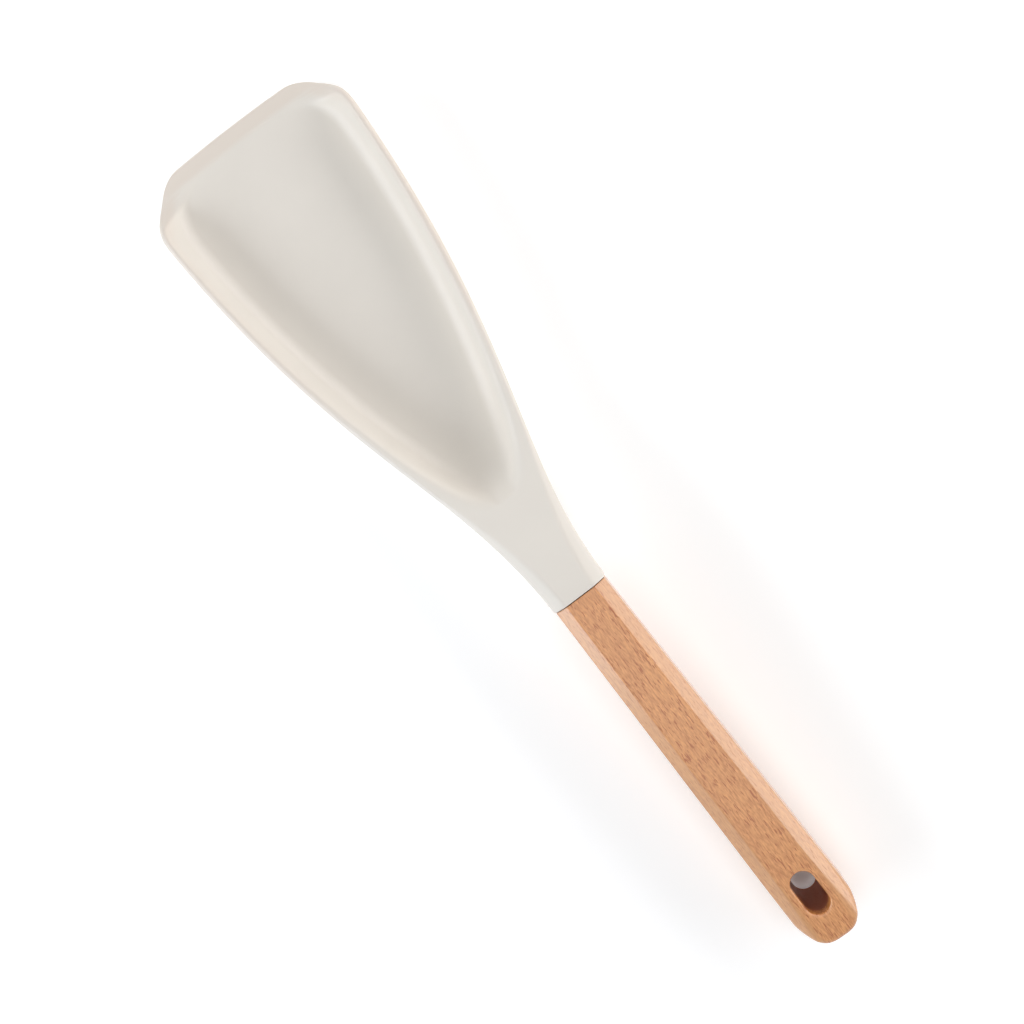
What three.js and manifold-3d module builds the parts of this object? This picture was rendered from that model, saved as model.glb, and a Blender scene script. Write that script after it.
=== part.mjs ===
// Cooking spoon: a moulded silicone scoop over a stiff insert, glued into an eight-sided beech handle.
// Millimetres, +Z up. The sole of the scoop and the end of the handle stand on z = 0, the scoop points
// along +X, and the origin lies on the table under the middle of the spoon.
import * as THREE from 'three';
import { mergeVertices } from 'three/addons/utils/BufferGeometryUtils.js';
import Module from 'manifold-3d';

const wasm = await Module();
wasm.setup();

// Handle: a beech bar that widens towards its end, with a slot to hang it by.
const handleLength = 141;
const handleWidthFront = 19.5;
const handleWidthEnd = 22.5;
const handleThick = 18.4;
const handleChamfer = 4.3; // chamfers along the handle, across it
const chamferDrop = 2.9; // the same chamfers, down its sides
const handleRise = 8.4; // height of the handle's underside above the table where it meets the neck
const endCornerLength = 12.8; // rounding of the end's corners, along the handle
const endCornerWidth = 9; // the same rounding, across it
const slotLength = 16;
const slotWidth = 8.4;
const slotFromEnd = 18.4; // middle of the slot to the end of the handle
const socketBore = 11.6;
const socketDepth = 48;
const drillPointAngle = 118;

// Insert: blade in the scoop's floor, bar in the neck, ribbed tang in the handle.
const bladeEndMargin = 36; // from the blade's front to the scoop's front edge
const bladeCorner = 14; // rounding of the blade's front corners
const bladeSideLap = 1; // how far the blade runs under the foot of the side walls
const skinThick = 1.2; // silicone over and under the blade
const barWidth = 13;
const barHeight = 11.4;
const lockHole = 6.4; // diameter of the holes that the silicone runs through
const lockHolePitch = 19;
const lockHoleEdge = 5; // material left between a hole and the blade's edge
const tangDiameter = 9.4;
const tangLength = 44;
const ribCount = 6;
const ribDepth = 0.7;

// Scoop: outline, walls, trough and neck.
const headLength = 206.2; // from the joint with the handle to the front edge
const headWidth = 82;
const cornerLength = 28; // front corners in plan, along the spoon
const cornerWidth = 18.5; // the same corners, across it
const frontBow = 1.5; // how far the front edge bows forward
const frontSkew = 3.8; // how much further forward one end of the front edge lies than the other
const neckEase = 47.5; // how far the neck runs on straight before it flares
const shoulderReach = 81; // from the joint to the fullest part of the flare
const shoulderDrop = 4.4; // how far the flare still has to widen there
const neckLength = 58; // stretch in which the handle's section turns into the scoop's
const neckProud = 0.6; // silicone standing proud of the wood
const rimBack = 17.2; // height of the rim at the end of the neck
const rimFront = 15.4; // height of the rim where the front corners begin
const rimLand = 2.6; // flat top of the rim, with its rounded outer edge
const rimEdge = 1.1; // radius of that outer edge
const wallFoot = 5.4; // run of a side wall from rim to floor, whatever its height
const wallLean = 0.22; // further run for each millimetre of that height
const wallFillet = 0.9; // share of the whole run taken by the fillet at its foot
const wallThick = 1.4; // how far the outer foot of the wall lies outside the inner one
const floorThick = 4.8;
const floorTaper = 40; // stretch behind the front edge in which the floor thins
const lipThick = 3.6; // floor thickness where the front bevel begins
const bevelLength = 11;
const edgeThick = 1.8; // thickness of the front edge
const troughStart = 39.2; // from the joint to the rounded end of the trough
const troughNoseFlat = 3; // half width at which the rounding starts
const troughFlare = 1.27; // how fast the trough widens from there
const troughEndRun = 32; // length of the slope at that end

// Clearance between pieces that touch.
const gap = 0.3;

// Fineness of the curves.
const noseCurve = 0.75; // how the rounded end of the trough curves, from 0.5 for round to 1 for pointed
const troughBlend = 10; // how tightly that end runs into the trough's sides
const thinShare = 1 / 3; // share of a thin edge that its rounding takes, above and below
const tipFlat = 0.4; // share of the front edge's thickness that stays flat
const neckStations = 9;
const noseStations = 10;
const bodyStations = 12;
const cornerStations = 9;
const bladeStations = 6;
const turnedSegments = 28;
const holeSegments = 16;
const endSegments = 10;
const slotSegments = 14;

const slope = Math.asin(handleRise / handleLength); // fall of the handle towards its end
const axisHeight = handleRise + handleThick / 2 * Math.cos(slope); // handle's middle at the joint
const cornerStart = headLength - cornerLength;
const bladeFront = headLength - bladeEndMargin;

const lerp = THREE.MathUtils.lerp;
const smooth = (t) => THREE.MathUtils.smoothstep(t, 0, 1);
const share = (value, from, to) => THREE.MathUtils.clamp((value - from) / (to - from), 0, 1);
const spread = (from, to, count) => Array.from({ length: count }, (_, i) => lerp(from, to, i / count));

// A fillet that runs into a straight slope: 0 at the foot, 1 at the top.
function ramp(t) {
  const steep = 1 / (1 - wallFillet / 2);
  if (t <= 0) return 0;
  if (t >= 1) return 1;
  return t < wallFillet ? steep * t * t / (2 * wallFillet) : steep * (t - wallFillet / 2);
}
const sink = (t) => 1 - ramp(1 - t); // the same slope seen from its top

// Side of the scoop in plan, from the joint to where the front corner begins.
const flare = new THREE.CubicBezierCurve(
  new THREE.Vector2(0, handleWidthFront / 2 + neckProud),
  new THREE.Vector2(neckEase, handleWidthFront / 2 + neckProud),
  new THREE.Vector2(shoulderReach, headWidth / 2 - shoulderDrop),
  new THREE.Vector2(cornerStart, headWidth / 2),
);

function halfWidth(x) {
  if (x >= cornerStart) {
    const inCorner = Math.min((x - cornerStart) / cornerLength, 1);
    return headWidth / 2 - cornerWidth * (1 - Math.sqrt(1 - inCorner ** 2));
  }
  let low = 0;
  let high = 1;
  for (let step = 0; step < 40; step += 1) {
    const middle = (low + high) / 2;
    if (flare.getPoint(middle).x < x) low = middle;
    else high = middle;
  }
  return flare.getPoint(low).y;
}

// Heights of the scoop's lines above the table, at a distance x from the joint.
function floorHeight(x) {
  const thinned = lerp(floorThick, lipThick, share(x, headLength - floorTaper, headLength - bevelLength));
  return lerp(thinned, edgeThick, share(x, headLength - bevelLength, headLength));
}

function rimHeight(x) {
  const straight = lerp(rimBack, rimFront, (x - neckLength) / (cornerStart - neckLength));
  const fall = (1 + Math.cos(Math.PI * share(x, cornerStart, headLength))) / 2;
  return lerp(floorHeight(x), straight, fall);
}

const neckLine = (x, side) => axisHeight + side * (handleThick / 2 + neckProud) + x * Math.tan(slope);
const topLine = (x) => lerp(neckLine(x, 1), rimHeight(x), smooth(x / neckLength));
const soleLine = (x) => lerp(neckLine(x, -1), 0, smooth(x / neckLength));

// The trough: half width of its rim, run of its walls and depth along its middle.
function troughHalf(x) {
  const nose = troughNoseFlat + troughFlare * Math.max(x - troughStart, 0) ** noseCurve;
  const sides = halfWidth(x) - rimLand;
  return (nose ** -troughBlend + sides ** -troughBlend) ** (-1 / troughBlend);
}
const wallHeight = (x) => topLine(x) - floorHeight(x);
const troughRun = (x) => Math.min(wallFoot + wallLean * wallHeight(x), troughHalf(x));
const troughEnd = troughStart + troughEndRun;
const troughDepth = (x) => wallHeight(x) * sink(share(x, troughStart, troughEnd));
const troughFloor = (x) => topLine(x) - troughDepth(x);

// Sets a point of the cross-section at x in space. Sections turn from square to the handle to upright.
function place(x, y, height) {
  const turn = slope * (1 - smooth(x / neckLength));
  const across = y / headWidth;
  const ahead = frontSkew * across - frontBow * (2 * across) ** 2;
  const lift = height - axisHeight;
  return new THREE.Vector3(
    x + ahead * share(x, headLength - floorTaper, headLength) - lift * Math.sin(turn),
    y,
    axisHeight + lift * Math.cos(turn),
  );
}

// Half of the scoop's outer cross-section, from the middle of its top to the middle of its sole.
const floorSteps = 2;
const wallSteps = [1, 0.86, 0.72, 0.58, 0.44, 0.3, 0.15, 0];
const edgeSteps = 3;
const outerSteps = 6;
const soleSteps = 2;

function scoopSection(x) {
  const onHead = smooth(x / neckLength);
  const side = halfWidth(x);
  const top = topLine(x);
  const sole = soleLine(x);
  const inner = troughHalf(x);
  const run = troughRun(x);
  const foot = inner - run;
  const depth = troughDepth(x);
  const edge = Math.min(rimEdge, (top - sole) * thinShare);
  const bevel = lerp(handleChamfer, edge, onHead);
  const drop = lerp(chamferDrop, edge, onHead);
  const rimUnder = Math.max(top - edge - rimEdge / 2, sole + edgeThick * thinShare);
  const keel = lerp(sole + chamferDrop, rimUnder, onHead);
  const outerFoot = lerp(side - handleChamfer, Math.max(foot, barWidth / 2) + wallThick, onHead);
  const points = [];
  for (let i = 0; i < floorSteps; i += 1) points.push([foot * i / floorSteps, top - depth]);
  for (const t of wallSteps) points.push([inner - run * t, top - depth * sink(t)]);
  for (let i = 0; i <= edgeSteps; i += 1) {
    const turn = Math.PI / 2 * i / edgeSteps;
    const round = [side - bevel + bevel * Math.sin(turn), top - drop + drop * Math.cos(turn)];
    const flat = [side - bevel + bevel * i / edgeSteps, top - drop * i / edgeSteps];
    points.push([lerp(flat[0], round[0], onHead), lerp(flat[1], round[1], onHead)]);
  }
  for (let i = outerSteps; i >= 0; i -= 1) {
    const t = i / outerSteps;
    points.push([lerp(outerFoot, side, t), lerp(sole, keel, lerp(t, ramp(t), onHead))]);
  }
  for (let i = 1; i <= soleSteps; i += 1) points.push([outerFoot * (1 - i / soleSteps), sole]);
  return points;
}

// Closes a half section over the middle and sets it in space as one ring.
function ringOf(x, half) {
  const mirrored = half.slice(1, -1).reverse().map(([y, z]) => [-y, z]);
  return [...half, ...mirrored].map(([y, z]) => place(x, y, z));
}

// Skins rings of equal length into one closed geometry, with a fan over each end.
function loft(rings) {
  const count = rings[0].length;
  const middleOf = (ring) => ring.reduce((sum, p) => sum.add(p), new THREE.Vector3()).divideScalar(count);
  const points = [...rings.flat(), middleOf(rings[0]), middleOf(rings.at(-1))];
  const first = rings.length * count;
  const index = [];
  for (let k = 0; k < count; k += 1) {
    const next = (k + 1) % count;
    for (let r = 0; r + 1 < rings.length; r += 1) {
      const a = r * count + k;
      const b = r * count + next;
      index.push(a, a + count, b, b, a + count, b + count);
    }
    index.push(first, k, next);
    index.push(first + 1, first - count + next, first - count + k);
  }
  const geometry = new THREE.BufferGeometry().setFromPoints(points);
  geometry.setIndex(index);
  return geometry;
}

function solidOf(geometry) {
  const bare = geometry.clone();
  bare.deleteAttribute('normal');
  bare.deleteAttribute('uv');
  const merged = mergeVertices(bare, 1e-4);
  const vertProperties = new Float32Array(merged.attributes.position.array);
  const triVerts = new Uint32Array(merged.index.array);
  return new wasm.Manifold(new wasm.Mesh({ numProp: 3, vertProperties, triVerts }));
}

function geometryOf(solid) {
  const mesh = solid.getMesh();
  const geometry = new THREE.BufferGeometry();
  geometry.setAttribute('position', new THREE.BufferAttribute(new Float32Array(mesh.vertProperties), 3));
  geometry.setIndex(new THREE.BufferAttribute(new Uint32Array(mesh.triVerts), 1));
  geometry.computeVertexNormals();
  return geometry;
}

// Distances from the joint at which the scoop's sections stand.
function scoopStations() {
  const turns = spread(0, Math.PI / 2, cornerStations);
  const corner = turns.map((angle) => cornerStart + cornerLength * Math.sin(angle));
  const tipStart = headLength - edgeThick / 2;
  return [
    ...spread(0, troughStart, neckStations),
    ...spread(0, 1, noseStations).map((t) => troughStart + troughEndRun * t * t),
    ...spread(troughEnd, cornerStart, bodyStations),
    ...corner.filter((x) => x < tipStart),
    tipStart,
    headLength,
  ];
}

function scoopOuter() {
  const rings = scoopStations().map((x) => ringOf(x, scoopSection(x)));
  const tip = rings.at(-1);
  const half = edgeThick / 2;
  for (const p of tip) p.z = half + (p.z - half) * tipFlat; // rounds the front edge over
  return loft(rings);
}

// The insert's blade and bar, grown by an allowance: flat, and as deep as the silicone over it lets it be.
const neckCover = handleThick / 2 + neckProud - barHeight / 2;
const cover = skinThick + gap;

function insertHalf(x) {
  const bladeSide = troughHalf(x) - troughRun(x) + bladeSideLap;
  const wide = Math.max(barWidth / 2, x > troughStart ? bladeSide : 0);
  const inCorner = Math.max(x - (bladeFront - bladeCorner), 0);
  return wide - bladeCorner + Math.sqrt(Math.max(bladeCorner ** 2 - inCorner ** 2, 0));
}
const insertTop = (x) => Math.min(topLine(x) - neckCover, troughFloor(x) - cover);
const insertBottom = (x) => soleLine(x) + lerp(neckCover, cover, smooth(x / troughEnd));

function insertBody(grow, from) {
  const bladeTurn = bladeFront - bladeCorner;
  const stations = [
    from,
    ...spread(0, troughStart, bladeStations).slice(1),
    ...spread(troughStart, troughEnd, bladeStations),
    ...spread(troughEnd, bladeTurn, bladeStations),
    ...spread(0, Math.PI / 2, bladeStations).map((angle) => bladeTurn + bladeCorner * Math.sin(angle)),
    bladeFront,
  ];
  const rings = stations.map((x, i) => {
    const side = insertHalf(x) + grow;
    const top = insertTop(x) + grow;
    const bottom = insertBottom(x) - grow;
    const reach = i === stations.length - 1 ? grow : 0;
    return ringOf(x + reach, [[0, top], [side, top], [side, bottom], [0, bottom]]);
  });
  return solidOf(loft(rings));
}

// Lock holes in rows across the blade, as many in each row as its width takes.
function lockPlugs(diameter) {
  const firstRow = troughEnd + lockHolePitch;
  const lastRow = bladeFront - lockHoleEdge - lockHole / 2;
  const rows = Math.floor((lastRow - firstRow) / lockHolePitch);
  const plugs = [];
  for (let row = 0; row <= rows; row += 1) {
    const x = firstRow + row * lockHolePitch;
    const room = 2 * (insertHalf(x) - lockHoleEdge) - lockHole;
    const across = Math.max(Math.floor(room / lockHolePitch), 0);
    for (let i = 0; i <= across; i += 1) {
      const plug = new THREE.CylinderGeometry(diameter / 2, diameter / 2, 2 * floorThick, holeSegments);
      plug.rotateX(Math.PI / 2);
      plug.translate(x, (i - across / 2) * lockHolePitch, floorThick / 2);
      plugs.push(solidOf(plug));
    }
  }
  return plugs;
}

// The handle's own frame: its X runs along the handle towards the scoop, from the joint.
const handleFrame = new THREE.Matrix4().makeRotationY(-slope).setPosition(0, 0, axisHeight);

// Turned pieces on the handle's axis; a profile holds radius and depth behind the joint.
function turned(profile) {
  const geometry = new THREE.LatheGeometry(profile, turnedSegments);
  geometry.rotateZ(Math.PI / 2);
  return geometry;
}

function tangProfile(grow, mouth) {
  const radius = tangDiameter / 2 + grow;
  const pitch = tangLength / (ribCount + 1);
  const points = [new THREE.Vector2(radius, mouth)];
  for (let i = 1; i <= ribCount; i += 1) {
    const groove = i * pitch;
    points.push(new THREE.Vector2(radius, groove - pitch / 4 - ribDepth / 2));
    points.push(new THREE.Vector2(radius - ribDepth, groove - pitch / 4 + ribDepth / 2));
    points.push(new THREE.Vector2(radius - ribDepth, groove + pitch / 4 - ribDepth / 2));
    points.push(new THREE.Vector2(radius, groove + pitch / 4 + ribDepth / 2));
  }
  points.push(new THREE.Vector2(radius, tangLength + grow));
  points.push(new THREE.Vector2(0, tangLength + grow));
  return points;
}

function socketProfile(shrink, mouth) {
  const radius = socketBore / 2 - shrink;
  const point = radius / Math.tan(THREE.MathUtils.degToRad(drillPointAngle / 2));
  return [
    new THREE.Vector2(radius, mouth),
    new THREE.Vector2(radius, socketDepth - shrink),
    new THREE.Vector2(0, socketDepth - shrink + point),
  ];
}

function siliconeHead() {
  const overrun = -2 * gap; // runs the cavity out through the joint
  let cavity = insertBody(gap, overrun);
  for (const plug of lockPlugs(lockHole - 2 * gap)) cavity = cavity.subtract(plug);
  return geometryOf(solidOf(scoopOuter()).subtract(cavity));
}

function coreInsert() {
  const root = barHeight / 2; // how far the tang reaches into the bar
  const tang = turned([new THREE.Vector2(0, -root), ...tangProfile(0, -root)]);
  tang.applyMatrix4(handleFrame);
  let body = insertBody(0, 0);
  for (const plug of lockPlugs(lockHole)) body = body.subtract(plug);
  return geometryOf(body.add(solidOf(tang)));
}

function tangAdhesive() {
  const mouth = gap + ribDepth;
  const inside = tangProfile(gap, mouth).reverse();
  const outside = socketProfile(gap, mouth);
  return geometryOf(solidOf(turned([...inside, ...outside])));
}

function beechHandle() {
  const bar = loft([-handleLength, -gap].map((x) => {
    const side = lerp(handleWidthFront, handleWidthEnd, -x / handleLength) / 2;
    const top = handleThick / 2;
    const corners = [
      [side - handleChamfer, top],
      [side, top - chamferDrop],
      [side, chamferDrop - top],
      [side - handleChamfer, -top],
    ];
    const mirrored = corners.map(([y, z]) => [-y, z]).reverse();
    return [...corners, ...mirrored].map(([y, z]) => new THREE.Vector3(x, y, z));
  }));

  const plan = new THREE.Shape();
  const side = handleWidthEnd / 2;
  const cornerX = endCornerLength - handleLength;
  const cornerY = side - endCornerWidth;
  plan.moveTo(0, -side);
  plan.lineTo(0, side);
  plan.lineTo(cornerX, side);
  plan.absellipse(cornerX, cornerY, endCornerLength, endCornerWidth, Math.PI / 2, Math.PI, false);
  plan.absellipse(cornerX, -cornerY, endCornerLength, endCornerWidth, Math.PI, Math.PI * 1.5, false);
  const depth = 2 * handleThick;
  const block = new THREE.ExtrudeGeometry(plan, { depth, bevelEnabled: false, curveSegments: endSegments });
  block.translate(0, 0, -handleThick);

  const slot = new THREE.Shape();
  const straight = (slotLength - slotWidth) / 2;
  slot.absarc(straight, 0, slotWidth / 2, -Math.PI / 2, Math.PI / 2, false);
  slot.absarc(-straight, 0, slotWidth / 2, Math.PI / 2, Math.PI * 1.5, false);
  const through = new THREE.ExtrudeGeometry(slot, { depth, bevelEnabled: false, curveSegments: slotSegments });
  through.translate(slotFromEnd - handleLength, 0, -handleThick);

  const socket = turned([new THREE.Vector2(0, 0), ...socketProfile(0, 0)]);
  const shaped = solidOf(bar).intersect(solidOf(block));
  return geometryOf(shaped.subtract(solidOf(through)).subtract(solidOf(socket)));
}

function piece(name, geometry, finish) {
  const mesh = new THREE.Mesh(geometry, new THREE.MeshStandardMaterial({ metalness: 0, ...finish }));
  mesh.name = name;
  return mesh;
}

const gripped = new THREE.Group(); // what turns with the handle's slope
gripped.applyMatrix4(handleFrame);
gripped.add(piece('beech_handle', beechHandle(), { color: 0xcd9a72, roughness: 0.55 }));
gripped.add(piece('tang_adhesive', tangAdhesive(), { color: 0xd9cfa6, roughness: 0.35 }));

const spoon = new THREE.Group();
spoon.add(piece('silicone_head', siliconeHead(), { color: 0xdedad3, roughness: 0.6 }));
spoon.add(piece('core_insert', coreInsert(), { color: 0x3a3d40, roughness: 0.5 }));
spoon.add(gripped);

// Moves the origin on to the table under the middle of the spoon.
const box = new THREE.Box3().setFromObject(spoon, true);
spoon.position.set(-(box.min.x + box.max.x) / 2, 0, -box.min.z);

export default spoon;
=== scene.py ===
from math import asin, cos, hypot, pi, radians, sin, sqrt, tan

import bmesh
import bpy
from mathutils import Matrix, Vector


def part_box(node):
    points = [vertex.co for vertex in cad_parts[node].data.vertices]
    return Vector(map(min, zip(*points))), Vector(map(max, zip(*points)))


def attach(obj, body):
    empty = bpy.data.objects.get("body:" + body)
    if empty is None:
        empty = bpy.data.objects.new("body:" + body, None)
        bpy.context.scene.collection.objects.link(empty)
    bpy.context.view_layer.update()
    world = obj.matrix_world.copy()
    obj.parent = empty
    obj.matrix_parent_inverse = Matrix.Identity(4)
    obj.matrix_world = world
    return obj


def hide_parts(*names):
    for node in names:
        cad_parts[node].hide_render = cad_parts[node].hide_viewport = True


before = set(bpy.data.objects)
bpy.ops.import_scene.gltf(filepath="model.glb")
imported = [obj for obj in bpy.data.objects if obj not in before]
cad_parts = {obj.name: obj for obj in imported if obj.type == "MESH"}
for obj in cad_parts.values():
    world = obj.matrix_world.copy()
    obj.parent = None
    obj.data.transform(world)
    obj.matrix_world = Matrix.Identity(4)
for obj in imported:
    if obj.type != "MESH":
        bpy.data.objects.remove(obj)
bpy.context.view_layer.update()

# Sizes are in millimetres, from the joint between head and handle, and turn into metres at the mesh.
mm = 0.001
scene = bpy.context.scene


class Sizes(dict):  # a dictionary that also reads as sizes.width
    __getattr__ = dict.__getitem__


def lerp(a, b, t):
    return a + (b - a) * t


def share(value, start, end):
    return min(max((value - start) / (end - start), 0), 1)


def smooth(t):
    t = min(max(t, 0), 1)
    return t * t * (3 - 2 * t)


def onset(distance, ease):  # zero before a point, the distance after it, eased over the turn
    if distance <= -ease:
        return 0
    return distance if distance >= ease else (distance + ease) ** 2 / (4 * ease)


def quarterRound(into, radius):  # how far a rounded edge has fallen away
    return radius - sqrt(max(radius ** 2 - into ** 2, 0))


def spread(start, end, count):  # even steps, without the last one
    return [lerp(start, end, i / count) for i in range(count)]


mostOfRun = 0.48  # the share of a run that the bend at one end of it may take


def stepTowards(corner, way, ease):  # from a corner along a run, as far as its bend reaches
    reach = min(ease, way.length * mostOfRun)
    return corner + way.normalized() * reach if reach else corner.copy()


# A path through corners (across, up, ease before, ease after), each turned into a soft bend.
def easedPath(corners, runSteps, bendSteps):
    points = [Vector(corner[:2]) for corner in corners]
    path = [points[0]]
    leave = points[0]
    for i in range(1, len(points)):
        corner = points[i]
        last = i == len(points) - 1
        arrive = corner if last else stepTowards(corner, points[i - 1] - corner, corners[i][2])
        steps = runSteps[i - 1]
        path += [leave.lerp(arrive, k / steps) for k in range(1, steps + 1)]
        if last:
            break
        leave = stepTowards(corner, points[i + 1] - corner, corners[i][3])
        for k in range(1, bendSteps[i - 1] + 1):
            t = k / bendSteps[i - 1]
            path.append(arrive.lerp(corner, t).lerp(corner.lerp(leave, t), t))
    return path


def skin(name, rings):  # one closed mesh over rings of equal length, with a flat face at each end
    count = len(rings[0])
    shape = bmesh.new()
    rows = [[shape.verts.new(point * mm) for point in ring] for ring in rings]
    for near, far in zip(rows, rows[1:]):
        for k in range(count):
            n = (k + 1) % count
            shape.faces.new((near[k], far[k], far[n], near[n]))
    shape.faces.new(rows[0])
    shape.faces.new(rows[-1][::-1])
    bmesh.ops.recalc_face_normals(shape, faces=shape.faces)
    mesh = bpy.data.meshes.new(name)
    shape.to_mesh(mesh)
    shape.free()
    made = bpy.data.objects.new(name, mesh)
    scene.collection.objects.link(made)
    return made


def bake(piece):  # fixes a piece's modifiers into its mesh
    bpy.context.view_layer.update()
    done = bpy.data.meshes.new_from_object(piece.evaluated_get(bpy.context.evaluated_depsgraph_get()))
    piece.modifiers.clear()
    piece.data = done
    done.name = piece.name


def dropSlivers(piece, size):  # joins points that a cut left closer together than that
    shape = bmesh.new()
    shape.from_mesh(piece.data)
    bmesh.ops.remove_doubles(shape, verts=shape.verts, dist=size * mm)
    shape.to_mesh(piece.data)
    shape.free()


def softShade(piece, sharpAngle):  # smooth faces, with creases only where two faces turn by more than that
    shape = bmesh.new()
    shape.from_mesh(piece.data)
    for edge in shape.edges:
        edge.smooth = len(edge.link_faces) == 2 and edge.calc_face_angle() < radians(sharpAngle)
    for face in shape.faces:
        face.smooth = True
    shape.to_mesh(piece.data)
    shape.free()
    weighted = piece.modifiers.new("flats", "WEIGHTED_NORMAL")
    weighted.keep_sharp = True
    bake(piece)


# Handle of beech: an eight-sided bar that widens towards its end, with a slot to hang it by
beech = Sizes(
    length=141, widthFront=19.5, widthEnd=22.5, thick=18.4, chamfer=4.3, chamferDrop=2.9, rise=8.4,
    cornerLength=12.8, cornerWidth=9,  # rounding of the end's corners, along and across
    arris=0.35, endArris=2.2, endArrisRun=32,  # ease of the long edges, which grows towards the end
    endChamfer=1.6, endRound=1.8, frontEase=0.2, gap=0.3,
    slotLength=16, slotWidth=8.4, slotFromEnd=18.4, slotEase=0.8,
    socketBore=11.6, socketDepth=48, socketPoint=3.5, socketTip=0.02,  # the tip is a share of the bore
    cutSpare=2, sliver=0.0005,  # how far a cutter stands out, and the gap that is closed after the cuts
)
barSteps = Sizes(front=4, middle=48, end=26, slotMouth=6, slotTurn=20, socketTurn=40)

slope = asin(beech.rise / beech.length)
axisHeight = beech.rise + beech.thick / 2 * cos(slope)

# Head of silicone: the same lines as the solid it stands for, with the moulded bends added
scoop = Sizes(
    length=206.2, width=82.0, frontBow=1.5, frontSkew=3.8,  # the front edge is bowed and out of square
    cornerLength=28, cornerWidth=19.5, cornerFull=2.3,  # front corners in plan, where 2 is an ellipse
    neckLength=58, neckEase=47.5, neckProud=0.59, neckArris=1.5, endEase=0.3,
    shoulderReach=81, shoulderDrop=4.4,  # where the sides leave the neck's line for the scoop's
    rimBack=17.2, rimFront=15.4, rimLand=2.6, rimEdge=1.1, rimBend=0.45, landShare=0.9,
    rimFallFrom=26, rimFallTo=4,  # where the rim comes down, measured back from the front edge
    turnFrom=26, turnTo=7, turnFull=2.6, sinkFrom=20, sinkTo=8,  # where the walls turn in and die out
    wallFoot=5.4, wallLean=0.22, wallFillet=0.9, wallThick=1.4, keelEase=0.6, keelTurn=1.2,
    keep=7.9,  # least half width of the flat below, which covers the insert's bar and its wall
    floorThick=4.8, floorTaper=40, taperEase=5, lipThick=3.6, bevelLength=11, bevelEase=2.5,
    edgeThick=1.8, tipRound=0.96,  # the front edge, and how far it rounds over
    troughStart=39.2, troughNoseFlat=4.4, troughFlare=1.27, noseCurve=0.75, noseEase=0.2,
    troughBlend=10, troughEndRun=28, troughEase=3.4, troughLeast=0.3,
    bandFrom=70, bandFull=120, frontBand=7, bandEase=3.2,  # the border, where shade is painted into the silicone's colour
)
headSteps = Sizes(end=5, neck=26, nose=34, noseCrowd=1.5, middle=64, corner=50, front=12, frontRun=3, tip=6)

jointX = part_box("beech_handle")[0].x / mm + beech.length * cos(slope) + beech.thick / 2 * sin(slope)
cornerStart = scoop.length - scoop.cornerLength


def flare(t):  # side of the head in plan, from the joint to the front corner
    halfNeck = beech.widthFront / 2 + scoop.neckProud
    line = [(0, halfNeck), (scoop.neckEase, halfNeck),
            (scoop.shoulderReach, scoop.width / 2 - scoop.shoulderDrop), (cornerStart, scoop.width / 2)]
    points = [Vector(p) for p in line]
    while len(points) > 1:
        points = [a.lerp(b, t) for a, b in zip(points, points[1:])]
    return points[0]


def halfWidth(x):
    if x >= cornerStart:
        inCorner = min((x - cornerStart) / scoop.cornerLength, 1)
        left = (1 - inCorner ** scoop.cornerFull) ** (1 / scoop.cornerFull)
        return scoop.width / 2 - scoop.cornerWidth * (1 - left)
    low, high = 0, 1
    for _ in range(30):  # halves the range around the point of the flare at x
        middle = (low + high) / 2
        low, high = (middle, high) if flare(middle).x < x else (low, middle)
    return flare(low).y


def floorHeight(x):
    taper = (scoop.floorThick - scoop.lipThick) / (scoop.floorTaper - scoop.bevelLength)
    bevel = (scoop.lipThick - scoop.edgeThick) / scoop.bevelLength
    fall = taper * onset(x - scoop.length + scoop.floorTaper, scoop.taperEase)
    dip = (bevel - taper) * onset(x - scoop.length + scoop.bevelLength, scoop.bevelEase)
    return scoop.floorThick - fall - dip


def rimHeight(x):
    along = (x - scoop.neckLength) / (cornerStart - scoop.neckLength)
    straight = lerp(scoop.rimBack, scoop.rimFront, along)
    fall = (1 + cos(pi * share(x, scoop.length - scoop.rimFallFrom, scoop.length - scoop.rimFallTo))) / 2
    return lerp(floorHeight(x), straight, fall)


def neckLine(x, side):
    return axisHeight + side * (beech.thick / 2 + scoop.neckProud) + x * tan(slope)


def topLine(x):
    return lerp(neckLine(x, 1), rimHeight(x), smooth(x / scoop.neckLength))


def soleLine(x):
    return lerp(neckLine(x, -1), 0, smooth(x / scoop.neckLength))


def ramp(t):  # a fillet that runs into a straight slope
    fillet = scoop.wallFillet
    steep = 1 / (1 - fillet / 2)
    return steep * t * t / (2 * fillet) if t < fillet else min(steep * (t - fillet / 2), 1)


def troughHalf(x):
    into = max(x - scoop.troughStart + scoop.noseEase, 0)
    nose = scoop.troughNoseFlat + scoop.troughFlare * into ** scoop.noseCurve
    turn = share(x, scoop.length - scoop.turnFrom, scoop.length - scoop.turnTo)
    stillOpen = (1 - turn ** scoop.turnFull) ** (1 / scoop.turnFull)  # closes as the walls turn in
    sides = (halfWidth(x) - scoop.rimLand) * stillOpen + scoop.troughLeast
    return (nose ** -scoop.troughBlend + sides ** -scoop.troughBlend) ** (-1 / scoop.troughBlend)


def troughDepth(x):
    into = onset(x - scoop.troughStart, scoop.noseEase) / scoop.troughEndRun
    return (topLine(x) - floorHeight(x)) * (1 - ramp(max(1 - into, 0)))


def headPoint(x, y, height):  # sections turn from square to the handle to upright
    turn = slope * (1 - smooth(x / scoop.neckLength))
    across = y / scoop.width
    ahead = scoop.frontSkew * across - scoop.frontBow * (2 * across) ** 2
    ahead *= share(x, scoop.length - scoop.floorTaper, scoop.length)
    lift = height - axisHeight
    return Vector((jointX + x + ahead - lift * sin(turn), y, axisHeight + lift * cos(turn)))


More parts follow.
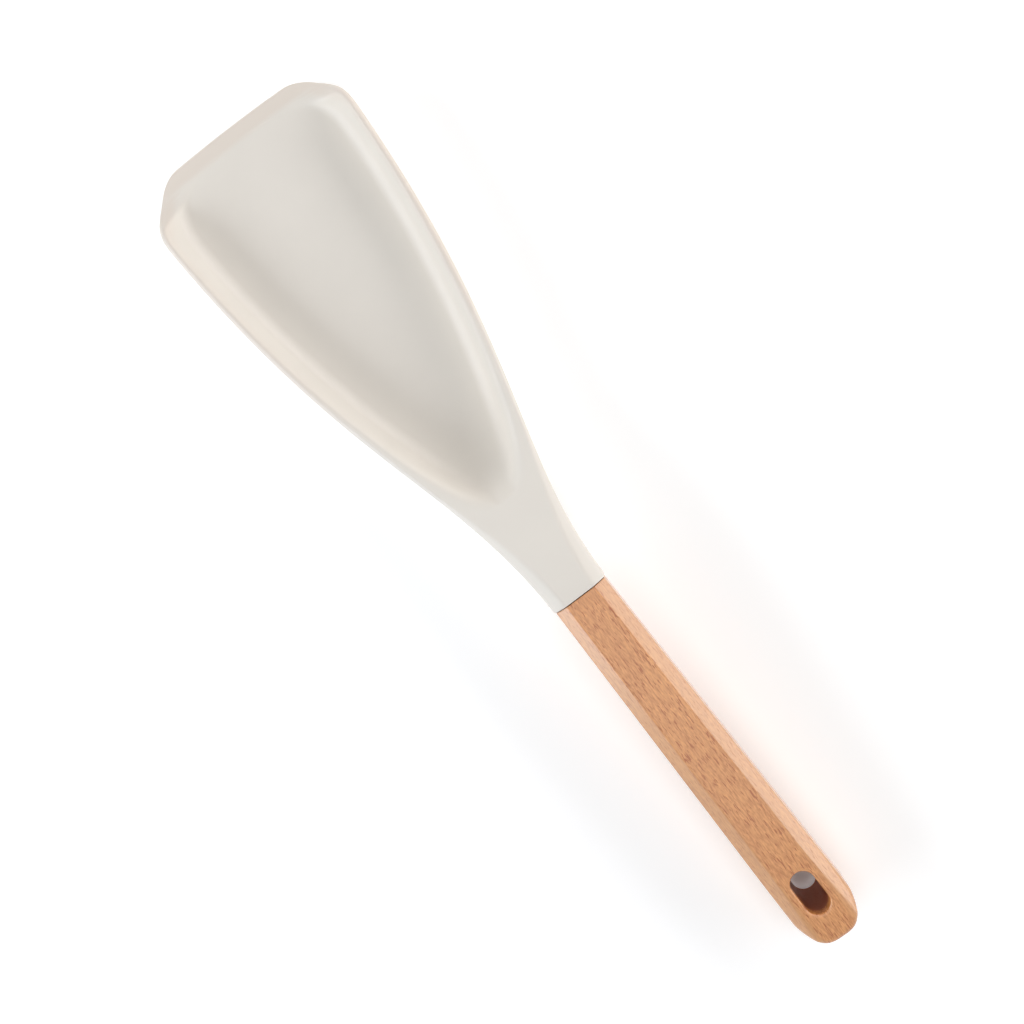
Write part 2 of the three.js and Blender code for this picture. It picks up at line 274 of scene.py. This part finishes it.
def headSection(x):  # half of a section, from the middle of the trough round to the middle of the sole
    onHead = smooth(x / scoop.neckLength)
    side, top, sole = halfWidth(x), topLine(x), soleLine(x)
    inner = troughHalf(x)
    floor = top - troughDepth(x)
    sunk = smooth(share(x, scoop.length - scoop.sinkFrom, scoop.length - scoop.sinkTo))
    brim = lerp(top, floor, sunk)  # the trough's own edge
    run = min(scoop.wallFoot + scoop.wallLean * (brim - floorHeight(x)), inner)
    fillet = run * scoop.wallFillet / 2
    wall = hypot(run - fillet, brim - floor)
    edge = min(scoop.rimEdge, (top - sole) / 3)
    bevel, drop = lerp(beech.chamfer, edge, onHead), lerp(beech.chamferDrop, edge, onHead)
    bend = lerp(scoop.neckArris, edge * scoop.rimBend, onHead)
    lowEdge = max(top - edge - scoop.rimEdge / 2, sole + scoop.edgeThick / 3)
    keel = lerp(sole + beech.chamferDrop, lowEdge, onHead)
    outerFoot = lerp(side - beech.chamfer, max(inner - run + scoop.wallThick, scoop.keep), onHead)
    outerFillet = (side - outerFoot) * scoop.wallFillet / 2 * onHead
    underWall = hypot(outerFillet, (keel - sole) / 3)
    rimEase = min(scoop.troughEase, (side - bevel - inner) * scoop.landShare)

    def eases(*onTheHead):  # the neck's ease at the joint, these two on the head
        return [lerp(scoop.neckArris, ease, onHead) for ease in onTheHead]

    corners = [
        (0, floor),
        (inner - run + fillet, floor, fillet, wall / 3),
        (inner, brim, scoop.troughEase, rimEase),
        (side - bevel, top, bend, bend),
        (side, top - drop, bend, bend),
        (side, keel, *eases(scoop.keelEase, scoop.keelTurn)),
        (outerFoot + outerFillet, sole, *eases(underWall, outerFillet)),
        (0, sole),
    ]
    return easedPath(corners, runSteps=(12, 6, 3, 2, 2, 7, 10), bendSteps=(9, 6, 4, 4, 4, 8))


def headRing(x):
    half = headSection(x)
    tip = scoop.edgeThick / 2
    middle = (topLine(x) + soleLine(x)) / 2
    intoTip = max(x - scoop.length + tip, 0) / tip
    flat = sqrt(1 - (intoTip * scoop.tipRound) ** 2)  # rounds the front edge over
    half = [(y, middle + (z - middle) * flat) for y, z in half]
    if x < scoop.endEase:  # rounds the end at the joint
        reach = 1 - quarterRound(scoop.endEase - x, scoop.endEase) / (beech.thick / 2)
        half = [(y * reach, middle + (z - middle) * reach) for y, z in half]
    whole = half + [(-y, z) for y, z in reversed(half[1:-1])]
    return [headPoint(x, y, z) for y, z in whole]


def headStations():  # closer together where the shape turns quickly
    noseStart = scoop.troughStart - scoop.noseEase
    noseEnd = scoop.troughStart + scoop.troughEndRun
    tipStart = scoop.length - scoop.edgeThick / 2
    frontStart = tipStart - headSteps.frontRun
    return ([scoop.endEase * (1 - cos(a)) for a in spread(0, pi / 2, headSteps.end)]
            + spread(scoop.endEase, noseStart, headSteps.neck)
            + [lerp(noseStart, noseEnd, t ** headSteps.noseCrowd) for t in spread(0, 1, headSteps.nose)]
            + spread(noseEnd, cornerStart, headSteps.middle)
            + spread(cornerStart, frontStart, headSteps.corner)
            + spread(frontStart, tipStart, headSteps.front)
            + [lerp(tipStart, scoop.length, sin(a)) for a in spread(0, pi / 2, headSteps.tip)]
            + [scoop.length])


def border(x, ring):  # painted shade: 1 in the border along the sides and the front edge, 0 inside it
    side = halfWidth(x)
    land = lerp(scoop.rimLand, scoop.frontBand, smooth(share(x, cornerStart, scoop.length - scoop.sinkTo)))
    begun = smooth(share(x, scoop.bandFrom, scoop.bandFull))

    def within(distance, band):  # eased over the band's inner edge
        return 1 - smooth((distance - band) / scoop.bandEase + 0.5)

    front = within(scoop.length - x, scoop.frontBand)
    return [begun * max(front, within(side - abs(point.y), land)) for point in ring]


stations = headStations()
rings = [headRing(x) for x in stations]
head = skin("moulded_head", rings)
softShade(head, sharpAngle=60)
# the border's painted shade, carried to the finish as a point attribute
borderShadeLayer = head.data.attributes.new("border", "FLOAT", "POINT")
borderShadeLayer.data.foreach_set("value", [value for x, ring in zip(stations, rings) for value in border(x, ring)])
print("head skinned:", len(head.data.polygons), "faces")


def handlePoint(x, y, z):  # from the handle's own axes, x forwards from the joint
    return Vector((
        jointX + x * cos(slope) - z * sin(slope),
        y,
        axisHeight + x * sin(slope) + z * cos(slope),
    ))


def handleRing(x):
    side = lerp(beech.widthFront, beech.widthEnd, -x / beech.length) / 2
    intoCorner = share(-x, beech.length - beech.cornerLength, beech.length)
    plan = beech.widthEnd / 2 - beech.cornerWidth * quarterRound(intoCorner, 1)
    outer = min(side, plan)
    flat = min(side - beech.chamfer, outer - beech.endChamfer)
    intoEnd = max(beech.endRound - beech.length - x, 0)
    intoFront = max(beech.frontEase + x + beech.gap, 0)
    inset = quarterRound(intoEnd, beech.endRound) + quarterRound(intoFront, beech.frontEase)
    top = beech.thick / 2 - inset
    drop = (outer - flat) * beech.chamferDrop / beech.chamfer
    nearEnd = smooth(share(-x, beech.length - beech.endArrisRun, beech.length))
    ease = lerp(beech.arris, beech.endArris, nearEnd)
    outer -= inset if x > -beech.length / 2 else 0  # the end's own sides are round in plan already
    corners = [
        (0, top), (flat, top, ease, ease), (outer, top - drop, ease, ease),
        (outer, drop - top, ease, ease), (flat, -top, ease, ease), (0, -top),
    ]
    half = easedPath(corners, runSteps=(8, 3, 5, 3, 8), bendSteps=(6, 6, 6, 6))
    whole = half + [Vector((-y, z)) for y, z in reversed(half[1:-1])]
    return [handlePoint(x, y, z) for y, z in whole]


def handleStations():
    begin = -beech.gap - beech.frontEase
    cornerAt = beech.cornerLength - beech.length
    front = [-beech.gap - beech.frontEase * (1 - cos(a)) for a in spread(0, pi / 2, barSteps.front)]
    end = [-beech.length + beech.cornerLength * (1 - sin(a)) for a in spread(0, pi / 2, barSteps.end)]
    return front + spread(begin, cornerAt, barSteps.middle) + end + [-beech.length]


def slotRings():  # the slot's cutter, flared at both mouths
    half, ease = beech.thick / 2, beech.slotEase
    bend = spread(0, pi / 2, barSteps.slotMouth)
    mouth = [(half + beech.cutSpare, ease + beech.cutSpare)]
    mouth += [(half - ease * (1 - cos(a)), ease * (1 - sin(a))) for a in bend]
    mouth += [(half - ease, 0)]
    levels = mouth + [(-z, grow) for z, grow in reversed(mouth)]
    straight = (beech.slotLength - beech.slotWidth) / 2
    middle = beech.slotFromEnd - beech.length
    turns = [pi * k / barSteps.slotTurn - pi / 2 for k in range(barSteps.slotTurn + 1)]
    rings = []
    for z, grow in levels:
        radius = beech.slotWidth / 2 + grow
        near = [(straight + radius * cos(a), radius * sin(a)) for a in turns]
        loop = near + [(-x, -y) for x, y in near]
        rings.append([handlePoint(middle + x, y, z) for x, y in loop])
    return rings


def socketRings():  # the drilled socket for the tang
    bottom = -beech.socketDepth
    depths = [(beech.cutSpare, 1), (bottom, 1), (bottom - beech.socketPoint, beech.socketTip)]
    radius = beech.socketBore / 2
    turns = spread(0, 2 * pi, barSteps.socketTurn)
    return [[handlePoint(x, radius * r * cos(a), radius * r * sin(a)) for a in turns] for x, r in depths]


handle = skin("beech_bar", [handleRing(x) for x in handleStations()])
for cutter in (skin("slot_cutter", slotRings()), skin("socket_cutter", socketRings())):
    cut = handle.modifiers.new("cut", "BOOLEAN")
    cut.operation, cut.solver, cut.object = "DIFFERENCE", "EXACT", cutter
    bake(handle)
    bpy.data.objects.remove(cutter)
dropSlivers(handle, beech.sliver)
softShade(handle, sharpAngle=50)
print("handle cut:", len(handle.data.polygons), "faces")


# Finishes
class Value:  # a node's output that can be added, multiplied and so on
    def __init__(self, finish, socket):
        self.finish, self.socket = finish, socket

    def also(self, name):  # another output of the same node
        return Value(self.finish, self.socket.node.outputs[name])

    def __add__(self, other):
        return self.finish.maths("ADD", self, other)

    def __sub__(self, other):
        return self.finish.maths("SUBTRACT", self, other)

    def __rsub__(self, other):
        return self.finish.maths("SUBTRACT", other, self)

    def __mul__(self, other):
        return self.finish.maths("MULTIPLY", self, other)

    __radd__ = __add__
    __rmul__ = __mul__


class Finish:
    def __init__(self, owner):
        owner.use_nodes = True
        self.owner, self.tree = owner, owner.node_tree
        self.tree.nodes.clear()

    def node(self, kind, settings={}, values={}, out=0):
        made = self.tree.nodes.new(kind)
        for key, value in settings.items():
            setattr(made, key, value)
        for key, value in values.items():
            if isinstance(value, Value):
                self.tree.links.new(value.socket, made.inputs[key])
            else:
                made.inputs[key].default_value = value
        return Value(self, made.outputs[out]) if made.outputs else made

    def maths(self, operation, first, second=0.0):
        return self.node("ShaderNodeMath", {"operation": operation}, {0: first, 1: second})

    def place(self):  # millimetres in the part's own frame
        spot = self.node("ShaderNodeTexCoord", out="Object")
        return self.node("ShaderNodeVectorMath", {"operation": "SCALE"}, {0: spot, "Scale": 1 / mm})

    def stretch(self, spot, long, wide):  # a pattern so many millimetres long, and so wide both other ways
        size = (1 / long, 1 / wide, 1 / wide)
        return self.node("ShaderNodeVectorMath", {"operation": "MULTIPLY"}, {0: spot, 1: size})

    def noise(self, spot, long, wide, detail=2.0, rough=0.5):
        pattern = self.stretch(spot, long, wide)
        values = {"Vector": pattern, "Scale": 1.0, "Detail": detail, "Roughness": rough}
        return self.node("ShaderNodeTexNoise", {}, values)

    def cells(self, spot, size):
        values = {"Vector": self.stretch(spot, size, size), "Scale": 1.0}
        return self.node("ShaderNodeTexVoronoi", {}, values)

    def fade(self, value, full, none):  # 1 at full, 0 at none, smooth between
        ends = {"Value": value, "From Min": full, "From Max": none, "To Min": 1.0, "To Max": 0.0}
        return self.node("ShaderNodeMapRange", {"interpolation_type": "SMOOTHSTEP"}, ends)

    def mix(self, first, second, factor):
        return self.node("ShaderNodeMix", {"data_type": "RGBA"}, {0: factor, 6: first, 7: second}, out=2)

    def bump(self, height, depth, strength):
        values = {"Strength": strength, "Distance": depth * mm, "Height": height}
        return self.node("ShaderNodeBump", {}, values)

    def surface(self, values):
        shader = self.node("ShaderNodeBsdfPrincipled", {}, values)
        self.node("ShaderNodeOutputMaterial", {}, {"Surface": shader})
        return self.owner


def tone(red, green, blue, level=1.0):  # a colour as seen on screen, for a colour socket
    screen = [part / 255 for part in (red, green, blue)]
    linear = [c / 12.92 if c < 0.04045 else ((c + 0.055) / 1.055) ** 2.4 for c in screen]
    return (*[c * level for c in linear], 1.0)


silicone = Sizes(
    # the second tone is painted shade: darker and warmer, for the border along the sides and the front
    colour=(224, 218, 209), border=(221, 211, 200), mottleSize=16, mottle=0.03,
    speckSpacing=24, speckSize=0.5, speckCore=0.3, speckTone=(176, 170, 160), speckDark=0.6,
    mouldGrain=0.35, mouldDepth=0.02, mouldBump=0.35,
    roughness=0.55, mottleRough=0.08, grainRough=0.05, ior=1.6,
)


def siliconeFinish():
    f = Finish(bpy.data.materials.new("matte_silicone"))
    spot = f.place()
    mottle = f.noise(spot, silicone.mottleSize, silicone.mottleSize, detail=3.0)
    grain = f.noise(spot, silicone.mouldGrain, silicone.mouldGrain, detail=1.0)
    size = silicone.speckSize / silicone.speckSpacing
    speck = f.fade(f.cells(spot, silicone.speckSpacing), size * silicone.speckCore, size)
    borderShadeMask = f.node("ShaderNodeAttribute", {"attribute_name": "border"}, out="Fac")
    dim, bright = (tone(*silicone.colour, 1 + side * silicone.mottle) for side in (-1, 1))
    colour = f.mix(dim, bright, mottle)
    # painted shade: the border along the sides and the front edge turns darker and warmer
    colour = f.mix(colour, tone(*silicone.border), borderShadeMask)
    colour = f.mix(colour, tone(*silicone.speckTone), silicone.speckDark * speck)
    rough = silicone.roughness + silicone.mottleRough * (mottle - 0.5) + silicone.grainRough * grain
    return f.surface({
        "Base Color": colour,
        "Roughness": rough,
        "IOR": silicone.ior,
        "Normal": f.bump(grain, silicone.mouldDepth, silicone.mouldBump),
    })


wood = Sizes(
    # the edge tone is a painted sheen that makes the chamfers paler
    pale=(230, 164, 99), deep=(166, 97, 42), edge=(198, 155, 108),
    # the last tone here darkens the slot's walls: painted shade in the recess, and end grain dark with oil
    fleck=(154, 78, 24), line=(168, 98, 40), scorch=(158, 96, 74),
    driftLength=60, driftWidth=6, drift=0.35, streakLength=22, streakWidth=0.9, streak=0.6, lift=0.02,
    grainLength=2.8, grainWidth=0.56, grainOnFlat=0.5,
    fleckLength=3.2, fleckWidth=0.52, fleckShare=0.65, fleckSoft=0.05, fleckDark=0.9, fleckOnEdges=0.3,
    crowding=0.12,  # flecks crowd together in places
    poreLength=2.6, poreWidth=0.42, poreFull=0.72, poreNone=0.58, poreDark=0.6,
    flatTo=5.5, edgeFrom=7.0, edgeTone=0.32,  # from the middle of the bar across, the chamfers are painted paler as sheen
    # in the slot, painted shade in the recess and end grain dark with oil, by depth below the top and
    # distance past the slot's side
    boreFrom=0.5, boreFull=1.6, boreWide=0.3, boreEnd=0.9, boreDark=0.9, boreRough=0.25, boreCoat=0.2,
    roughness=0.35, streakRough=0.1, fleckRough=0.12, coat=0.9, coatRough=0.25,
    grainHeight=0.3, fleckHeight=-0.6, poreHeight=-0.3, bumpDepth=0.08, bump=0.3,
)


def woodFinish():
    f = Finish(bpy.data.materials.new("oiled_beech"))
    settle = {"Vector": f.place(), "Location": (-jointX, 0, -axisHeight), "Rotation": (0, slope, 0)}
    along = f.node("ShaderNodeMapping", {}, settle)  # x runs with the grain, from the joint
    drift = f.noise(along, wood.driftLength, wood.driftWidth, detail=2.0)
    streak = f.noise(along, wood.streakLength, wood.streakWidth, detail=3.0, rough=0.6)
    grain = f.noise(along, wood.grainLength, wood.grainWidth, detail=2.0, rough=0.6)
    fleckNoise = f.noise(along, wood.fleckLength, wood.fleckWidth, detail=1.0)
    poreNoise = f.noise(along, wood.poreLength, wood.poreWidth, detail=1.0)

    spot = f.node("ShaderNodeSeparateXYZ", {}, {0: along})
    across, up = spot.also("Y"), spot.also("Z")
    onFlat = f.fade(f.maths("ABSOLUTE", across), wood.flatTo, wood.edgeFrom)
    fleckLimit = wood.fleckShare - wood.crowding * (drift - 0.5)
    flecks = f.fade(fleckNoise - fleckLimit, wood.fleckSoft, -wood.fleckSoft)
    flecks = flecks * (wood.fleckOnEdges + (1 - wood.fleckOnEdges) * onFlat)
    pores = f.fade(poreNoise, wood.poreFull, wood.poreNone)

    fine = (grain - 0.5) * (1.0 + wood.grainOnFlat * onFlat)
    colour = f.mix(tone(*wood.deep), tone(*wood.pale),
                   wood.drift * drift + wood.streak * streak + fine + wood.lift)
    # painted sheen: the chamfers are mixed towards a paler tone
    colour = f.mix(colour, tone(*wood.edge), wood.edgeTone * (1 - onFlat))
    colour = f.mix(colour, tone(*wood.line), wood.poreDark * pores)
    colour = f.mix(colour, tone(*wood.fleck), wood.fleckDark * flecks)

    fromMiddle = f.maths("ABSOLUTE", spot + (beech.length - beech.slotFromEnd))
    aside = f.maths("MAXIMUM", fromMiddle - (beech.slotLength - beech.slotWidth) / 2, 0.0)
    offSlot = f.maths("SQRT", aside * aside + across * across)
    half, radius = beech.thick / 2, beech.slotWidth / 2
    inside = f.fade(f.maths("ABSOLUTE", up), half - wood.boreFull, half - wood.boreFrom)
    bore = inside * f.fade(offSlot, radius + wood.boreWide, radius + wood.boreEnd)
    # painted shade in the slot's recess, and the end grain's oil: the walls below the mouths turn dark
    colour = f.mix(colour, tone(*wood.scorch), wood.boreDark * bore)
    rough = wood.roughness + wood.streakRough * streak + wood.fleckRough * flecks + wood.boreRough * bore
    height = wood.grainHeight * grain + wood.fleckHeight * flecks + wood.poreHeight * pores
    return f.surface({
        "Base Color": colour,
        "Roughness": rough,
        "Coat Weight": wood.coat - (wood.coat - wood.boreCoat) * bore,
        "Coat Roughness": wood.coatRough,
        "Normal": f.bump(height, wood.bumpDepth, wood.bump),
    })


nylon = Sizes(
    colour=(58, 61, 64), fibre=(84, 87, 90), fibreLength=1.6, fibreWidth=0.12, fibreFull=0.7, fibreNone=0.5,
    fibrePale=0.5, cloudSize=9, cloudPale=0.2, roughness=0.43, cloudRough=0.15, bumpDepth=0.03, bump=0.3,
)


def nylonFinish():
    f = Finish(bpy.data.materials.new("glass_filled_nylon"))
    spot = f.place()
    strand = f.noise(spot, nylon.fibreLength, nylon.fibreWidth, detail=2.0)
    cloud = f.noise(spot, nylon.cloudSize, nylon.cloudSize, detail=2.0)
    fibres = f.fade(strand, nylon.fibreFull, nylon.fibreNone)
    pale = nylon.fibrePale * fibres + nylon.cloudPale * cloud
    return f.surface({
        "Base Color": f.mix(tone(*nylon.colour), tone(*nylon.fibre), pale),
        "Roughness": nylon.roughness + nylon.cloudRough * cloud,
        "Normal": f.bump(strand, nylon.bumpDepth, nylon.bump),
    })


epoxy = Sizes(
    colour=(222, 205, 160), cloudy=(205, 184, 138), cloudSize=5, roughness=0.25, cloudRough=0.2,
    bubble=(240, 230, 200), bubbleSpacing=2.2, bubbleCore=0.05, bubbleEdge=0.16, bubblePale=0.5,
    bumpDepth=0.1, bump=0.4,
)


def epoxyFinish():
    f = Finish(bpy.data.materials.new("set_epoxy"))
    spot = f.place()
    cloud = f.noise(spot, epoxy.cloudSize, epoxy.cloudSize, detail=3.0)
    bubble = f.fade(f.cells(spot, epoxy.bubbleSpacing), epoxy.bubbleCore, epoxy.bubbleEdge)
    colour = f.mix(tone(*epoxy.colour), tone(*epoxy.cloudy), cloud)
    return f.surface({
        "Base Color": f.mix(colour, tone(*epoxy.bubble), epoxy.bubblePale * bubble),
        "Roughness": epoxy.roughness + epoxy.cloudRough * cloud,
        "Normal": f.bump(bubble, epoxy.bumpDepth, epoxy.bump),
    })


def dress(piece, material):
    piece.data.materials.clear()
    piece.data.materials.append(material)


dress(head, siliconeFinish())
dress(handle, woodFinish())
for name, material in (("core_insert", nylonFinish()), ("tang_adhesive", epoxyFinish())):
    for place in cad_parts[name].material_slots:
        place.material = material
for piece, node, slot in ((head, "silicone_head", "silicone"), (handle, "beech_handle", "beech")):
    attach(piece, "root")
    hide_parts(node)
print("finishes on:", len(bpy.data.materials), "materials")

# Studio: a pale floor, soft boxes along both sides, one overhead and weak ones in front and behind
warm, cool = (1.0, 0.985, 0.985), (0.95, 1.0, 1.06)
studio = Sizes(
    floorSize=6.0, floorDrop=0.1, floorTone=0.97, floorGlow=0.22, whiteFrom=1100, reach=0.7,
    # name, side, range in degrees above the floor, range in metres along x, brightness, tint
    sideBoxes=(
        ("key_box", -1, (14, 33), (-0.8, 0.8), 3.75, warm),
        ("key_low_box", -1, (4, 14), (-0.8, 0.8), 2.2, warm),
        ("fill_box", 1, (14, 33), (-0.25, 0.8), 5.7, cool),
        ("fill_wing_box", 1, (4, 23), (-0.8, -0.25), 0.8, cool),
    ),
    # name, place, width and height in metres, brightness
    otherBoxes=(
        ("top_box", (0, 0, 0.8), 1.2, 0.8, 1.27),
        ("front_box", (0.7, 0, 0.25), 0.8, 0.4, 0.7),
        ("back_box", (-0.7, 0, 0.25), 0.8, 0.4, 0.6),
    ),
)


def softBox(name, spot, aim, wide, tall, brightness, tint=(1.0, 1.0, 1.0)):
    lamp = bpy.data.lights.new(name, "AREA")
    lamp.shape, lamp.size, lamp.size_y = "RECTANGLE", wide, tall
    lamp.energy = brightness * pi * wide * tall
    lamp.color = tint
    made = bpy.data.objects.new(name, lamp)
    made.location = spot
    made.rotation_mode = "QUATERNION"
    made.rotation_quaternion = (Vector(aim) - Vector(spot)).to_track_quat("-Z", "Y")
    scene.collection.objects.link(made)


for name, side, (low, high), (start, end), brightness, tint in studio.sideBoxes:
    rise, half = radians((low + high) / 2), radians((high - low) / 2)
    middle = (start + end) / 2
    spot = (middle, side * studio.reach * cos(rise), studio.reach * sin(rise))
    softBox(name, spot, (middle, 0, 0), end - start, 2 * studio.reach * tan(half), brightness, tint)
for name, spot, wide, tall, brightness in studio.otherBoxes:
    softBox(name, spot, (0, 0, 0), wide, tall, brightness)


def inSight(f):  # 1 for the camera's rays and for reflections, 0 for what lights the part
    ray = f.node("ShaderNodeLightPath", out="Is Camera Ray")
    return f.maths("MINIMUM", ray + ray.also("Is Glossy Ray") + ray.also("Is Transmission Ray"), 1.0)


def floorFinish():
    f = Finish(bpy.data.materials.new("paper_floor"))
    paper = f.node("ShaderNodeBsdfDiffuse", {}, {"Color": (*[studio.floorTone] * 3, 1.0)})
    slotSpot = handlePoint(beech.slotFromEnd - beech.length, 0, -beech.thick / 2)
    ends = {0: f.place(), 1: slotSpot}
    fromSlot = f.node("ShaderNodeVectorMath", {"operation": "DISTANCE"}, ends, out="Value")
    # no glow under the slot, and white beyond the lamps
    near = studio.floorGlow * f.fade(fromSlot, beech.widthEnd / 2, beech.slotWidth / 2)
    far = f.fade(fromSlot, studio.whiteFrom, studio.whiteFrom / 2)
    glow = f.node("ShaderNodeEmission", {}, {"Color": inSight(f) * (near + far)})
    both = f.node("ShaderNodeAddShader", {}, {0: paper, 1: glow})
    f.node("ShaderNodeOutputMaterial", {}, {"Surface": both})
    return f.owner


def wallFinish(world):  # white to look at, and no light from it
    f = Finish(world)
    wall = f.node("ShaderNodeBackground", {}, {"Color": (1.0, 1.0, 1.0, 1.0), "Strength": inSight(f)})
    f.node("ShaderNodeOutputWorld", {}, {"Surface": wall})
    return world


below = (0, 0, -studio.floorDrop * mm)
bpy.ops.mesh.primitive_grid_add(x_subdivisions=2, y_subdivisions=2, size=studio.floorSize, location=below)
floor = bpy.context.object
floor.name = "floor"
dress(floor, floorFinish())
scene.world = wallFinish(bpy.data.worlds.new("white_wall"))

# Camera: almost straight above the middle, turned so that the head points up and to the left
view = Sizes(
    place=(23.845, -23.384, 316.347), lens=31.64, sensor=36, clipNear=0.01, clipFar=20,
    forward=(0.03604, 0.08311, -0.99589), down=(-0.79244, 0.60955, 0.02219),
)
camera = bpy.data.cameras.new("photo_camera")
camera.lens, camera.sensor_width = view.lens, view.sensor
camera.clip_start, camera.clip_end = view.clipNear, view.clipFar
eye = bpy.data.objects.new("photo_camera", camera)
scene.collection.objects.link(eye)
back = -Vector(view.forward).normalized()
right = (-Vector(view.down)).cross(back).normalized()
up = back.cross(right)
spot = (Vector(view.place) + Vector((jointX, 0, 0))) * mm
eye.matrix_world = Matrix.Translation(spot) @ Matrix((right, up, back)).transposed().to_4x4()
scene.camera = eye
scene.view_settings.view_transform = "Standard"
print("studio set")
